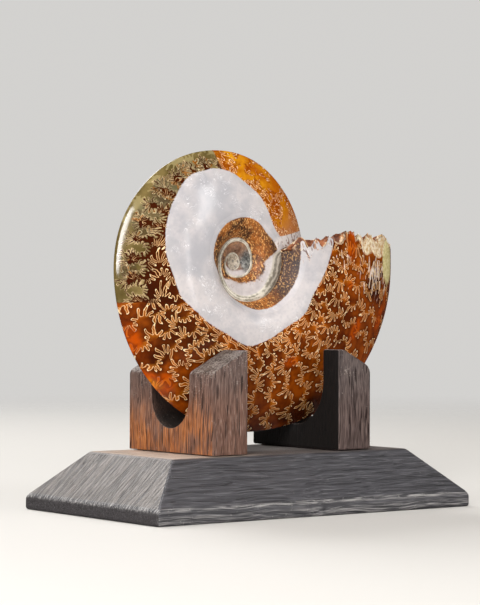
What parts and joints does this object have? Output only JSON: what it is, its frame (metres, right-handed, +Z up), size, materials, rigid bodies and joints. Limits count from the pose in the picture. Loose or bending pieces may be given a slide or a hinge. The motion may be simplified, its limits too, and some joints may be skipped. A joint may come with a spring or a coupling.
{
  "type": "polished ammonite on a wooden cradle stand",
  "caption": "Polished ammonite shell with a jagged broken mouth, standing on edge in notched wooden blocks on a bevelled wooden plinth.",
  "frame": {"origin": "centre of the plinth's underside, on the surface that it stands on", "axes": "+Z up, +X along the plinth's length towards the shell's broken mouth, +Y to the back; the shell's plane of symmetry is Y = 0"},
  "size_m": [0.12, 0.071, 0.1105],
  "materials": {
    "polished_shell": "high polish, amber and red-brown calcite with cream suture lines and a milky white band",
    "plinth_wood": "charcoal stain, open grain, rubbed edges",
    "cradle_wood": "scorched red-brown hardwood, dark pores, sooty tops"
  },
  "bodies": {
    "root": {"ammonite": "polished_shell", "plinth": "plinth_wood", "left_cradle": "cradle_wood", "right_cradle": "cradle_wood"}
  },
  "joints": []
}
